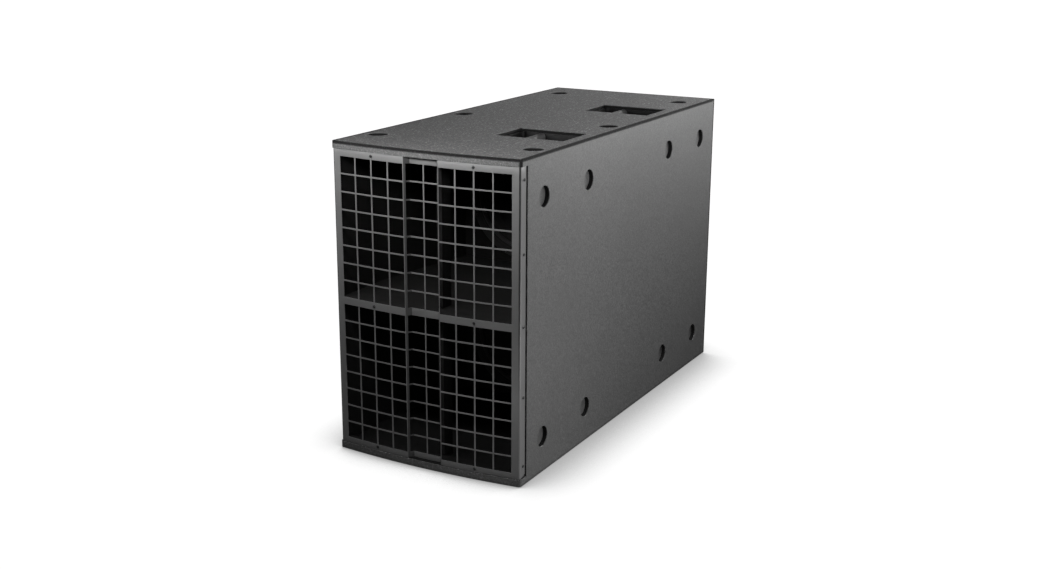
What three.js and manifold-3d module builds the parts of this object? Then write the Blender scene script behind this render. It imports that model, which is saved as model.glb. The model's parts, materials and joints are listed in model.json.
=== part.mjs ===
// Deep bass loudspeaker cabinet, standing on its narrow end: plywood box, folded steel grille,
// two long-throw drivers behind a divided mouth. Millimetres, +Z up, front towards -Y.
// The origin is on the floor, under the middle of the cabinet.
import * as THREE from 'three';
import Module from 'manifold-3d';
import { mergeVertices } from 'three/addons/utils/BufferGeometryUtils.js';

// ---- driving dimensions ----
const padStand = 2; // how far the rubber pads hold the cabinet off the floor
const width = 530;
const height = 800;
const sideDepth = 1200; // from the chord of the bowed front to the back
const bow = 16; // how far the middle of the front stands forward of its chord
const ply = 18;
const gap = 0.3; // clearance between touching pieces
const over = 5; // how far a cutter runs past the piece it cuts
const boardCorner = 8; // plan radius of the top and bottom boards' front corners

const cupRadius = 26;
const cupDepth = 12;
const topCups = {
  front: { depth: 137, inset: 44 }, // depth behind the front chord, inset from the cabinet's side
  middle: { depth: 550, inset: 44 },
  rear: { depth: 1077, inset: 68 },
};
const sideCupDepths = [112, 348, 858, 1091]; // from the front chord
const sideCupLevels = [94, 696]; // above the cabinet's underside
const cupSides = 24;
const driverSides = 28;
const pad = { footRadius: 19.5, rimRadius: 21.5, topRadius: 22.5, edge: 1.5 };

const pocket = { x: 132.5, ys: [-250, 253], width: 195, length: 137, sink: 8, depth: 70 };
const dishWall = { side: 10, end: 3.5, floor: 6, cornerRadius: 10 };
const grip = { x: 100, radius: 11, sink: 19 };

const sheet = 2;
const sheetGap = 0.5; // clearance between the folded sheet and the wood round it
const grilleInset = 2.5; // the grille's face behind the boards' front edges
const flangeFace = 262; // outside face of the side flanges, from the middle plane
const flangeEdge = 28; // flange's rear edge, behind the front chord
const rebateEdge = 31;
const bendRadius = 5;
const stripDepth = 14; // the middle strip stands this far back
const foldX = 48;
const innerFoldX = 38.4;
const barWidth = 3.8;
const columnPitch = 49.3;
const rowsPerMouth = 8;
const midBand = { z: 400.5, height: 18.8 };
const gridReach = 365.5; // from the mid band's centre line to the outermost cells' far edge
const foldBar = 6.2; // solid strip on each fold's sloping wall

const frontScrewX = 143;
const flangeScrewDepth = 17.5;
const flangeScrewPitch = 175.5;
const screwSides = 8;
const screw = { headRadius: 4, headHeight: 2.2, shankRadius: 2, shankLength: 12, holeRadius: 2.6 };

const baffleFront = -72;
const flare = { frontY: -430, frontThickness: 32, rearX: 198, rearThickness: 14 };
const batten = { low: [17, -562], high: [32, -522] }; // plan corners of the upright wooden strips
const cleat = { rear: 20, topDepth: 16, bottomHeight: 13.4 }; // rear is measured from the chord
const brace = { windowWidth: 320, windowLength: 220, windowsAt: [0.3, 0.72] };
const driver = { rim: 178, cutOut: 161, coneRadius: 139, coilRadius: 38, magnetRadius: 92, basketBack: 102 };
const plate = {
  z: 240, width: 160, height: 96, thickness: 2, cutWidth: 120, cutHeight: 60, socketX: 34, socketRadius: 13,
};
const rearRecess = 8;

// ---- places worked out from them ----
const overallDepth = sideDepth + bow;
const rear = overallDepth / 2;
const chord = rear - sideDepth;
const half = width / 2;
const inner = half - ply;
const floorZ = padStand;
const topZ = padStand + height;
const insideLow = floorZ + ply;
const insideHigh = topZ - ply;
const shelfLow = midBand.z - ply / 2;
const shelfHigh = midBand.z + ply / 2;
const driverLevels = { lower: (insideLow + shelfLow) / 2, upper: (shelfHigh + insideHigh) / 2 };

const paint = { color: 0x2c2c2d, roughness: 0.62, metalness: 0 };
const innerPaint = { color: 0x161616, roughness: 0.85, metalness: 0 };
const steel = { color: 0x343435, roughness: 0.42, metalness: 0.35 };
const plastic = { color: 0x141415, roughness: 0.5, metalness: 0 };
const rubber = { color: 0x101010, roughness: 0.9, metalness: 0 };
const paper = { color: 0x1a1a1b, roughness: 0.95, metalness: 0 };
const castMetal = { color: 0x2a2b2d, roughness: 0.5, metalness: 0.7 };
const zinc = { color: 0x3a3a3c, roughness: 0.35, metalness: 0.8 };

const wasm = await Module();
wasm.setup();

// ---- solids and cuts ----
function toSolid(geometry) {
  const bare = geometry.clone();
  bare.deleteAttribute('normal');
  bare.deleteAttribute('uv');
  const merged = mergeVertices(bare, 1e-4);
  return new wasm.Manifold(new wasm.Mesh({
    numProp: 3,
    vertProperties: new Float32Array(merged.attributes.position.array),
    triVerts: new Uint32Array(merged.index.array),
  }));
}

function toGeometry(solid) {
  const mesh = solid.getMesh();
  const geometry = new THREE.BufferGeometry();
  geometry.setAttribute('position', new THREE.BufferAttribute(new Float32Array(mesh.vertProperties), 3));
  geometry.setIndex(new THREE.BufferAttribute(new Uint32Array(mesh.triVerts), 1));
  geometry.computeVertexNormals();
  return geometry;
}

function cut(base, cutters) {
  return cutters.reduce((solid, cutter) => solid.subtract(toSolid(cutter)), toSolid(base));
}

function block(low, high) {
  const size = high.map((value, axis) => value - low[axis]);
  const geometry = new THREE.BoxGeometry(...size);
  return geometry.translate(...low.map((value, axis) => value + size[axis] / 2));
}

// A plan outline (list of [x, y]) raised from z = low to z = high.
function slab(outline, low, high) {
  const shape = new THREE.Shape(outline.map(([x, y]) => new THREE.Vector2(x, y)));
  const geometry = new THREE.ExtrudeGeometry(shape, { depth: high - low, bevelEnabled: false });
  return geometry.translate(0, 0, low);
}

// A round bar from one point along an axis ('x', 'y' or 'z').
function rod(axis, start, length, radius, sides) {
  const geometry = new THREE.CylinderGeometry(radius, radius, length, sides);
  if (axis === 'x') geometry.rotateZ(Math.PI / 2);
  if (axis === 'z') geometry.rotateX(Math.PI / 2);
  const offset = { x: [length / 2, 0, 0], y: [0, length / 2, 0], z: [0, 0, length / 2] }[axis];
  return geometry.translate(...start.map((value, index) => value + offset[index]));
}

const screwHole = (axis, start, length) => rod(axis, start, length, screw.holeRadius, screwSides);

// A turned piece on the Y axis: profile points are [radius, y].
function turned(profile, sides) {
  const points = profile.map(([radius, y]) => new THREE.Vector2(radius, y));
  return new THREE.LatheGeometry(points, sides);
}

function arcPoints(centreX, centreY, radius, from, to, steps) {
  return Array.from({ length: steps + 1 }, (_, i) => {
    const angle = from + ((to - from) * i) / steps;
    return [centreX + radius * Math.cos(angle), centreY + radius * Math.sin(angle)];
  });
}

const group = new THREE.Group();

function place(name, geometry, finish) {
  const shown = geometry.isBufferGeometry ? geometry : toGeometry(geometry);
  const mesh = new THREE.Mesh(shown, new THREE.MeshStandardMaterial(finish));
  mesh.name = name;
  group.add(mesh);
}

const frontY = (x) => chord - bow * (1 - (x / half) ** 2);

function cupSpots() {
  return Object.values(topCups).flatMap(({ depth, inset }) =>
    [-1, 1].map((side) => [side * (half - inset), chord + depth]));
}

// ---- cabinet boards ----
function boardOutline() {
  const radius = boardCorner;
  const steps = 14;
  const front = Array.from({ length: steps + 1 }, (_, i) => {
    const x = (half - radius) * (1 - (2 * i) / steps);
    return [x, frontY(x)];
  });
  const cornerY = frontY(half - radius) + radius;
  const right = arcPoints(half - radius, cornerY, radius, 0, -Math.PI / 2, 4).slice(0, -1);
  const left = arcPoints(radius - half, cornerY, radius, -Math.PI / 2, -Math.PI, 4).slice(1);
  return [[-half, rear], [half, rear], ...right, ...front, ...left].reverse();
}

function topPanel() {
  const cutters = cupSpots().map(([x, y]) =>
    rod('z', [x, y, topZ - cupDepth], cupDepth + over, cupRadius, cupSides));
  for (const y of pocket.ys) {
    const low = [pocket.x - pocket.width / 2, y - pocket.length / 2, insideHigh - over];
    cutters.push(block(low, [pocket.x + pocket.width / 2, y + pocket.length / 2, topZ + over]));
  }
  return cut(slab(boardOutline(), insideHigh, topZ), cutters);
}

function bottomPanel() {
  const cutters = cupSpots().map(([x, y]) =>
    rod('z', [x, y, floorZ - over], cupDepth + over, cupRadius, cupSides));
  return cut(slab(boardOutline(), floorZ, insideLow), cutters);
}

function sidePanel(side) {
  const rebateFloor = flangeFace - sheet - gap;
  const front = chord + 5; // behind the grille's bend
  const chamfer = 4;
  const nose = [[inner, front], [rebateFloor - chamfer, front], [rebateFloor, front + chamfer]];
  const rebate = [[rebateFloor, chord + rebateEdge], [half, chord + rebateEdge]];
  const outline = [[inner, rear], ...nose, ...rebate, [half, rear]];
  const placed = outline.map(([x, y]) => [side * x, y]);
  const cupStart = side > 0 ? half - cupDepth : -half - over;
  const cutters = sideCupDepths.flatMap((depth) => sideCupLevels.map((level) =>
    rod('x', [cupStart, chord + depth, floorZ + level], cupDepth + over, cupRadius, cupSides)));
  const pilotDepth = screw.shankLength + 4;
  const pilotStart = side > 0 ? flangeFace - pilotDepth : -flangeFace - over;
  cutters.push(...flangeScrewLevels().map((z) =>
    screwHole('x', [pilotStart, chord + flangeScrewDepth, z], pilotDepth + over)));
  return cut(slab(side > 0 ? placed : placed.reverse(), insideLow + gap, insideHigh - gap), cutters);
}

function rearPanel() {
  const low = [-inner + gap, rear - rearRecess - ply, insideLow + gap];
  const high = [inner - gap, rear - rearRecess, insideHigh - gap];
  const opening = block([-plate.cutWidth / 2, low[1] - over, plate.z - plate.cutHeight / 2],
    [plate.cutWidth / 2, high[1] + over, plate.z + plate.cutHeight / 2]);
  return cut(block(low, high), [opening]);
}

function baffle() {
  const board = block([-inner + gap, baffleFront, insideLow + gap],
    [inner - gap, baffleFront + ply, insideHigh - gap]);
  const holes = Object.values(driverLevels).map((z) =>
    rod('y', [0, baffleFront - over, z], ply + 2 * over, driver.cutOut, 40));
  return cut(board, holes);
}

function rearBrace() {
  const low = baffleFront + ply + gap;
  const high = rear - rearRecess - ply - gap;
  const board = block([-inner + gap, low, shelfLow], [inner - gap, high, shelfHigh]);
  const reachX = brace.windowWidth / 2;
  const reachY = brace.windowLength / 2;
  const windows = brace.windowsAt.map((part) => {
    const y = low + (high - low) * part;
    return block([-reachX, y - reachY, shelfLow - over], [reachX, y + reachY, shelfHigh + over]);
  });
  return cut(board, windows);
}

function hornFlare(side, low, high) {
  const { frontY: start, frontThickness, rearX, rearThickness } = flare;
  const end = baffleFront - gap;
  const outline = [[inner - gap, start], [rearX, end], [rearX + rearThickness, end],
    [inner - gap, start + frontThickness]];
  const placed = outline.map(([x, y]) => [side * x, y]);
  const plank = slab(side > 0 ? placed : placed.reverse(), low + gap, high - gap);
  return cut(plank, dishClearance());
}

// Room for the handle dishes where they reach down past a flare.
function dishClearance() {
  return pocket.ys.map((y) => block(
    [pocket.x - pocket.width / 2 - 1, y - pocket.length / 2 - 1, topZ - pocket.depth - 1],
    [pocket.x + pocket.width / 2 + 1, y + pocket.length / 2 + 1, topZ]));
}

// ---- grille: one sheet, punched, then folded ----
const faceY = (x) => frontY(x) + grilleInset;

// Outer face of the sheet from the middle of the strip to the right flange's rear edge.
function facePath() {
  const bars = [1, 2, 3, 4].map((n) => foldX - foldBar / 2 + n * columnPitch);
  const wing = [foldX, ...bars].map((x) => [x, faceY(x)]);
  const centre = [flangeFace - bendRadius, faceY(flangeFace - bendRadius) + bendRadius];
  const bend = arcPoints(...centre, bendRadius, -Math.PI / 2, 0, 4);
  return [[0, faceY(0) + stripDepth], [innerFoldX, faceY(innerFoldX) + stripDepth], ...wing, ...bend,
    [flangeFace, chord + flangeEdge]];
}

// The same path moved back into the cabinet by a distance, with mitred corners.
function offsetPath(path, distance) {
  return path.map((point, i) => {
    const before = i > 0 ? path[i - 1] : [-path[1][0], path[1][1]];
    const after = i < path.length - 1 ? path[i + 1] : [point[0], point[1] + 1];
    const normal = ([ax, ay], [bx, by]) => {
      const length = Math.hypot(bx - ax, by - ay);
      return [-(by - ay) / length, (bx - ax) / length];
    };
    const [nx, ny] = normal(before, point);
    const [mx, my] = normal(point, after);
    const scale = distance / (1 + nx * mx + ny * my);
    return [point[0] + (nx + mx) * scale, point[1] + (ny + my) * scale];
  });
}

const mirrored = (path) => path.map(([x, y]) => [-x, y]).reverse();

// Plan outlines of the ten columns of openings, right half then mirrored.
function columnOutlines() {
  const front = chord - bow - over;
  const back = chord + stripDepth + over;
  const wallStart = [foldX, faceY(foldX)];
  const wallEnd = [innerFoldX, faceY(innerFoldX) + stripDepth];
  const along = [wallEnd[0] - wallStart[0], wallEnd[1] - wallStart[1]].map((v) =>
    v / Math.hypot(wallEnd[0] - wallStart[0], wallEnd[1] - wallStart[1]));
  const edge = [wallStart[0] + along[0] * foldBar, wallStart[1] + along[1] * foldBar];
  const reach = 8;
  const behind = [edge[0] + along[1] * reach, edge[1] - along[0] * reach];
  const ahead = [edge[0] - along[1] * reach, edge[1] + along[0] * reach];
  const middle = [[barWidth / 2, ahead[1]], ahead, behind, [behind[0], back], [barWidth / 2, back]];
  const wing = [1, 2, 3, 4].map((n) => {
    const outer = foldX - foldBar / 2 + n * columnPitch - barWidth / 2;
    const inside = n === 1 ? foldX + sheet : outer - columnPitch + barWidth;
    return [[inside, front], [outer, front], [outer, back], [inside, back]];
  });
  const right = [middle, ...wing];
  return [...right, ...right.map(mirrored)];
}

function rowSpans() {
  const cells = gridReach - midBand.height / 2;
  const cell = (cells - (rowsPerMouth - 1) * barWidth) / rowsPerMouth;
  return Array.from({ length: rowsPerMouth }, (_, i) => {
    const start = midBand.height / 2 + i * (cell + barWidth);
    return [start, start + cell];
  }).flatMap(([low, high]) => [[midBand.z + low, midBand.z + high], [midBand.z - high, midBand.z - low]]);
}

function flangeScrewLevels() {
  return [-2, -1, 0, 1, 2].map((n) => floorZ + height / 2 + n * flangeScrewPitch);
}

function frontScrewLevels() {
  const band = (insideHigh - midBand.z - gridReach) / 2;
  return { top: insideHigh - band, middle: midBand.z, bottom: insideLow + band };
}

function grille() {
  const face = facePath();
  const back = offsetPath(face, sheet);
  const outside = [...mirrored(face), ...face.slice(1)];
  const inside = [...mirrored(back), ...back.slice(1)].reverse();
  const outline = [...outside, ...inside];
  const blank = slab(outline, insideLow + sheetGap, insideHigh - sheetGap);
  const columns = columnOutlines();
  const openings = rowSpans().flatMap(([low, high]) => columns.map((column) => slab(column, low, high)));
  const holes = Object.values(frontScrewLevels()).flatMap((z) => [-1, 1].map((side) =>
    screwHole('y', [side * frontScrewX, chord - bow - over, z], bow + 3 * over)));
  holes.push(...flangeScrewLevels().flatMap((z) => [-1, 1].map((side) =>
    screwHole('x', [side * flangeFace - over, chord + flangeScrewDepth, z], 2 * over))));
  return cut(blank, [...openings, ...holes]);
}

// Plan outline of a piece of wood behind the sheet, back to a straight rear edge.
function backingOutline(rearY) {
  const path = offsetPath(facePath(), sheet + sheetGap).filter(([x]) => x < inner - 4);
  const last = path[path.length - 1];
  const slope = 0.12; // how fast the bowed sheet falls back near the sides
  const reach = [inner - gap, last[1] + (inner - gap - last[0]) * slope];
  const face = [...path, reach];
  return [...mirrored(face), ...face.slice(1), [reach[0], rearY], [-reach[0], rearY]];
}

function backing(rearY, low, high, screwZ) {
  const holes = [-1, 1].map((side) =>
    screwHole('y', [side * frontScrewX, chord - bow - over, screwZ], bow + 4 * over));
  return cut(slab(backingOutline(rearY), low, high), holes);
}

function screwBody() {
  const { headRadius, headHeight, shankRadius, shankLength } = screw;
  const seat = -sheetGap; // the underside of the head, clear of the sloping sheet
  const crown = seat - headHeight;
  const profile = [[0, crown], [headRadius * 0.62, crown], [headRadius * 0.92, crown + headHeight * 0.38],
    [headRadius, seat], [shankRadius, seat], [shankRadius, shankLength], [0, shankLength + 1.5]];
  return turned(profile, screwSides);
}

function placeScrews() {
  for (const [levelName, z] of Object.entries(frontScrewLevels())) {
    for (const side of [-1, 1]) {
      const geometry = screwBody().translate(side * frontScrewX, faceY(frontScrewX), z);
      place(`grille_screw_${levelName}_${side < 0 ? 'left' : 'right'}`, geometry, zinc);
    }
  }
  flangeScrewLevels().forEach((z, index) => {
    for (const side of [-1, 1]) {
      const geometry = screwBody().rotateZ((side * Math.PI) / 2);
      geometry.translate(side * flangeFace, chord + flangeScrewDepth, z);
      place(`flange_screw_${side < 0 ? 'left' : 'right'}_${index + 1}`, geometry, zinc);
    }
  });
}

// ---- handles ----
function handleDish(y) {
  const top = topZ - pocket.sink;
  const low = topZ - pocket.depth;
  const halfX = pocket.width / 2 - gap;
  const halfY = pocket.length / 2 - gap;
  const body = block([pocket.x - halfX, y - halfY, low], [pocket.x + halfX, y + halfY, top]);
  const reachX = halfX - dishWall.side;
  const reachY = halfY - dishWall.end;
  const r = dishWall.cornerRadius;
  const corners = [[1, 1, 0], [-1, 1, 1], [-1, -1, 2], [1, -1, 3]];
  const quarter = Math.PI / 2;
  const outline = corners.flatMap(([sx, sy, turn]) => {
    const centre = [pocket.x + sx * (reachX - r), y + sy * (reachY - r)];
    return arcPoints(...centre, r, turn * quarter, (turn + 1) * quarter, 4);
  });
  return cut(body, [slab(outline, low + dishWall.floor, top + over)]);
}

function handleGrip(y) {
  const reach = pocket.length / 2 - 2 * gap - dishWall.end;
  return rod('y', [grip.x, y - reach, topZ - grip.sink], 2 * reach, grip.radius, 24);
}

function placeHandles() {
  pocket.ys.forEach((y, index) => {
    const where = index === 0 ? 'front' : 'rear';
    place(`handle_dish_${where}`, handleDish(y), plastic);
    place(`handle_grip_${where}`, handleGrip(y), plastic);
  });
}

// ---- pads ----
function placePads() {
  const names = ['front_left', 'front_right', 'middle_left', 'middle_right', 'rear_left', 'rear_right'];
  cupSpots().forEach(([x, y], index) => {
    const top = floorZ + cupDepth - gap;
    const profile = [[0, 0], [pad.footRadius, 0], [pad.rimRadius, pad.edge], [pad.topRadius, top], [0, top]];
    const geometry = turned(profile, 24).rotateX(Math.PI / 2).translate(x, y, 0);
    place(`pad_${names[index]}`, geometry, rubber);
  });
}

// ---- drivers: y = 0 is the baffle's front face, the cone opens towards -Y ----
function basket() {
  const { rim, cutOut, basketBack } = driver;
  const flange = gap + 6;
  const outside = [[rim, -flange], [rim, -gap], [cutOut - 3, -gap], [96, basketBack - 6], [96, basketBack]];
  const inside = [[42, basketBack], [42, basketBack - 6], [86, basketBack - 6], [147, -2], [151, -flange]];
  const shell = turned([...outside, ...inside, outside[0]], driverSides);
  const windowCount = 6;
  const windows = Array.from({ length: windowCount }, (_, i) =>
    block([-34, 22, 90], [34, 86, 200]).rotateY((i * 2 * Math.PI) / windowCount));
  return cut(shell, windows);
}

function magnet() {
  const r = driver.magnetRadius;
  const start = driver.basketBack + gap;
  const boreRadius = 48;
  const frontPlate = [[boreRadius, start], [r - 8, start], [r - 8, 110]];
  const ring = [[r, 112], [r, 142], [r - 8, 144], [r - 14, 158]];
  const inside = [[0, 158], [0, 150], [boreRadius, 150]];
  return turned([...frontPlate, ...ring, ...inside, frontPlate[0]], driverSides);
}

function surround() {
  const middle = driver.coneRadius + 5.5;
  const edgeY = -7;
  const roll = arcPoints(middle, 0, 5, Math.PI, 0, 5).map(([r, rise]) => [r, edgeY - rise * 1.6]);
  const under = [...roll].reverse().map(([r, y]) => [middle + (r - middle) * 0.72, y + 1.6]);
  return turned([...roll, ...under, roll[0]], driverSides);
}

function cone() {
  const r = driver.coneRadius;
  const c = driver.coilRadius;
  const rearFace = [[r, -6], [r * 0.78, 18], [r * 0.55, 38], [c + 10, 56], [c, 66]];
  const coil = [[c, 96], [c - 1.2, 96]];
  const openFace = [[c - 1.2, 60], [c + 9, 54], [r * 0.55 - 1, 35], [r * 0.78, 15.4], [r - 1.5, -7.4]];
  return turned([...rearFace, ...coil, ...openFace, rearFace[0]], driverSides);
}

function dustCap() {
  const reach = 51;
  const rimY = 50.2;
  const rise = 14;
  const thickness = 1.8;
  const outside = [0, 0.35, 0.7, 1].map((t) => [reach * t, rimY - rise * (1 - t * t)]);
  const inside = [...outside].reverse().map(([r, y]) => [r * 0.96, y + thickness]);
  return turned([...outside, ...inside], driverSides);
}

function spider() {
  const depth = 84;
  const ripples = Array.from({ length: 7 }, (_, i) =>
    [driver.coilRadius + 1 + i * 7.4, depth + (i % 2 ? 2.6 : -2.6)]);
  const under = [...ripples].reverse().map(([r, y]) => [r, y + 1.2]);
  return turned([...ripples, ...under, ripples[0]], driverSides);
}

function placeDrivers() {
  const pieces = {
    basket: [basket, castMetal],
    magnet: [magnet, castMetal],
    surround: [surround, rubber],
    cone: [cone, paper],
    dust_cap: [dustCap, paper],
    spider: [spider, paper],
  };
  for (const [level, z] of Object.entries(driverLevels)) {
    for (const [piece, [build, finish]] of Object.entries(pieces)) {
      const made = build();
      const geometry = (made.isBufferGeometry ? made : toGeometry(made)).translate(0, baffleFront, z);
      place(`${level}_${piece}`, geometry, finish);
    }
  }
}

// ---- connector plate on the back ----
function connectorPlate() {
  const face = rear - rearRecess + gap;
  const body = block([-plate.width / 2, face, plate.z - plate.height / 2],
    [plate.width / 2, face + plate.thickness, plate.z + plate.height / 2]);
  const holes = [-1, 1].map((side) =>
    rod('y', [side * plate.socketX, face - over, plate.z], 3 * over, plate.socketRadius + gap, 20));
  return cut(body, holes);
}

function socket(side) {
  const face = rear - rearRecess + gap + plate.thickness;
  const r = plate.socketRadius;
  const rim = gap + 2.6;
  const outside = [[0, -20], [r, -20], [r, gap], [r + 3.5, gap], [r + 3.5, rim], [r - 1, rim]];
  const well = [[r - 1, -8], [5, -8], [5, 1.5], [0, 1.5], [0, -20]];
  return turned([...outside, ...well], 24).translate(side * plate.socketX, face, plate.z);
}

// ---- assembly ----
place('top_panel', topPanel(), paint);
place('bottom_panel', bottomPanel(), paint);
place('left_side_panel', sidePanel(-1), paint);
place('right_side_panel', sidePanel(1), paint);
place('rear_panel', rearPanel(), paint);
place('driver_baffle', baffle(), innerPaint);
place('mouth_shelf', backing(baffleFront - gap, shelfLow, shelfHigh, midBand.z), innerPaint);
place('rear_brace', rearBrace(), innerPaint);
for (const [sideName, side] of [['left', -1], ['right', 1]]) {
  place(`horn_flare_lower_${sideName}`, hornFlare(side, insideLow, shelfLow), innerPaint);
  place(`horn_flare_upper_${sideName}`, hornFlare(side, shelfHigh, insideHigh), innerPaint);
}
place('front_grille', grille(), steel);
const cleatRear = chord + cleat.rear;
const cleatLevels = frontScrewLevels();
const topCleat = backing(cleatRear, insideHigh - cleat.topDepth, insideHigh - gap, cleatLevels.top);
const bottomCleat = backing(cleatRear, insideLow + gap, insideLow + cleat.bottomHeight, cleatLevels.bottom);
const battenBlock = (low, high) => block([...batten.low, low + gap], [...batten.high, high - gap]);
place('grille_cleat_top', topCleat, innerPaint);
place('grille_cleat_bottom', bottomCleat, innerPaint);
place('grille_batten_upper', battenBlock(shelfHigh, insideHigh), innerPaint);
place('grille_batten_lower', battenBlock(insideLow, shelfLow), innerPaint);
placeScrews();
placeHandles();
placePads();
placeDrivers();
place('connector_plate', connectorPlate(), steel);
place('socket_left', socket(-1), plastic);
place('socket_right', socket(1), plastic);

export default group;
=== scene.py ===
import json
import math

import bmesh
import bpy
from mathutils import Matrix, Vector


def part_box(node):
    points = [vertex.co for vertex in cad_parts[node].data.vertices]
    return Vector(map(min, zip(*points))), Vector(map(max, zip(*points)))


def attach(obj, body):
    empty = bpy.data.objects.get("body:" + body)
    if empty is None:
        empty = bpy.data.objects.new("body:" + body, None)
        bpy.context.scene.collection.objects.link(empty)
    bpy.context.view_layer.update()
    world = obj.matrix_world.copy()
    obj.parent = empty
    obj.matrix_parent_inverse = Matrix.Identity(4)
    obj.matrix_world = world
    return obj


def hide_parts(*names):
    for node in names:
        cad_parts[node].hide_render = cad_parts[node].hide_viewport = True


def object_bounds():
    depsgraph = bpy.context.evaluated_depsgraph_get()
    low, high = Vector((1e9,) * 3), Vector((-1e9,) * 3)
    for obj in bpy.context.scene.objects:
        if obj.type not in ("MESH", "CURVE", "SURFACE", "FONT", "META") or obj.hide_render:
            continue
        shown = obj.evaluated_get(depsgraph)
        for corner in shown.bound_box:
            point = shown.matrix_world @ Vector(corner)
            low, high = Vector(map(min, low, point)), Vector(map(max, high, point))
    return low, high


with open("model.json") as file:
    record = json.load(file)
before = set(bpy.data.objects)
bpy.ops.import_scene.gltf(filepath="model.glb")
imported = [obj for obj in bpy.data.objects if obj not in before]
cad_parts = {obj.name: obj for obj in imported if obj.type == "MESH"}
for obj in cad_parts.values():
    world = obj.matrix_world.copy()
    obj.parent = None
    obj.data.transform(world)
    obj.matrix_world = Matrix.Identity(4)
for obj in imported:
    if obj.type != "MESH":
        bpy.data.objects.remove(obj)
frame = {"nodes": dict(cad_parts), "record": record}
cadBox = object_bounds()
record = frame["record"]
lowCorner, highCorner = cadBox
print("frame loaded")

# The whole cabinet, in metres. Everything else is placed from these and from the CAD boxes.
cabinet = {
    "bow": 0.016,
    "ply": 0.018,
    "halfWidth": highCorner.x,
    "rear": highCorner.y,
    "front": lowCorner.y,
    "underside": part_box("bottom_panel")[0].z,
    "top": highCorner.z,
}
chord = cabinet["front"] + cabinet["bow"]
halfWidth = cabinet["halfWidth"]
shelfMiddle = sum(v.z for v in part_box("mouth_shelf")) / 2


def frontAt(x):  # the bowed front of the top and bottom boards
    return chord - cabinet["bow"] * (1 - (x / halfWidth) ** 2)


# Camera and light.
viewpoint = {
    "place": (1.7118, -3.2230, 1.3403),
    "yaw": 28.658,
    "pitch": 15.447,
    "roll": 0.316,
    "lens": 46.27,
}


def placeCamera():
    yaw, pitch, roll = (math.radians(viewpoint[k]) for k in ("yaw", "pitch", "roll"))
    level = Vector((-math.sin(yaw), math.cos(yaw), 0))
    across = Vector((math.cos(yaw), math.sin(yaw), 0))
    ahead = level * math.cos(pitch) - Vector((0, 0, math.sin(pitch)))
    upright = Vector((0, 0, math.cos(pitch))) + level * math.sin(pitch)
    right = across * math.cos(roll) + upright * math.sin(roll)
    up = upright * math.cos(roll) - across * math.sin(roll)
    data = bpy.data.cameras.new("camera")
    data.sensor_width = 36
    data.lens = viewpoint["lens"]
    data.clip_end = 200
    camera = bpy.data.objects.new("camera", data)
    bpy.context.collection.objects.link(camera)
    turn = Matrix((right, up, -ahead)).transposed().to_4x4()
    camera.matrix_world = Matrix.Translation(viewpoint["place"]) @ turn
    bpy.context.scene.camera = camera


studio = {
    "skyBelow": 0.03, "skyLevel": 0.05, "skyAbove": 0.08, "floorHalf": 60, "floorDrop": 0.0005,
    "shadow": (0.42, 0.97, 0.40, 1.04), "shadowReach": 0.22,
}
softBoxes = {  # place, what it is aimed at, size, watts
    "frontClose": ((-0.08, -0.95, 0.96), (-0.06, -0.60, 0.74), (1.0, 0.10), 9.0),
    "frontLow": ((0.12, -0.95, 0.10), (0.12, -0.60, 0.02), (0.5, 0.08), 0.4),
    "sideFront": ((0.85, -0.30, 1.00), (0.27, -0.20, 0.75), (0.7, 0.2), 8.2),
    "sideRear": ((0.85, 0.75, 1.00), (0.27, 0.55, 0.75), (0.7, 0.2), 15),
    "sideLow": ((1.00, -0.50, 0.20), (0.27, -0.45, 0.20), (0.6, 0.3), 6.4),
    "topGraze": ((-1.00, 3.00, 1.60), (0.00, 0.00, 0.80), (2.5, 0.8), 9.4),
    "leftFill": ((-3.00, -0.20, 1.40), (-0.27, 0.00, 0.40), (2.0, 1.5), 40),
    "rearFill": ((0.60, 4.00, 1.40), (0.00, 0.61, 0.40), (2.0, 1.5), 40),
}


def placeLight(name, place, aim, size, power):
    data = bpy.data.lights.new(name, "AREA")
    data.shape = "RECTANGLE"
    data.size, data.size_y = size
    data.energy = power
    lamp = bpy.data.objects.new(name, data)
    bpy.context.collection.objects.link(lamp)
    lamp.location = place
    lamp.rotation_euler = (Vector(aim) - Vector(place)).to_track_quat("-Z", "Y").to_euler()
    lamp.visible_camera = False


placeCamera()
for lampName, lampSettings in softBoxes.items():
    placeLight(lampName, *lampSettings)
bpy.context.scene.view_settings.view_transform = "Standard"
bpy.context.scene.view_settings.look = "None"


# Finishes.
class Wire:  # one socket of a material's nodes, usable in ordinary arithmetic
    def __init__(self, finish, socket):
        self.finish = finish
        self.socket = socket

    def maths(self, operation, first, second=0.0):
        return self.finish.add("ShaderNodeMath", {"operation": operation}, {0: first, 1: second})

    def __add__(self, other):
        return self.maths("ADD", self, other)

    def __radd__(self, other):
        return self.maths("ADD", other, self)

    def __sub__(self, other):
        return self.maths("SUBTRACT", self, other)

    def __rsub__(self, other):
        return self.maths("SUBTRACT", other, self)

    def __mul__(self, other):
        return self.maths("MULTIPLY", self, other)

    def __rmul__(self, other):
        return self.maths("MULTIPLY", other, self)

    def __truediv__(self, other):
        return self.maths("DIVIDE", self, other)

    def __rtruediv__(self, other):
        return self.maths("DIVIDE", other, self)

    def __pow__(self, other):
        return self.maths("POWER", self, other)

    def __abs__(self):
        return self.maths("ABSOLUTE", self)


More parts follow.
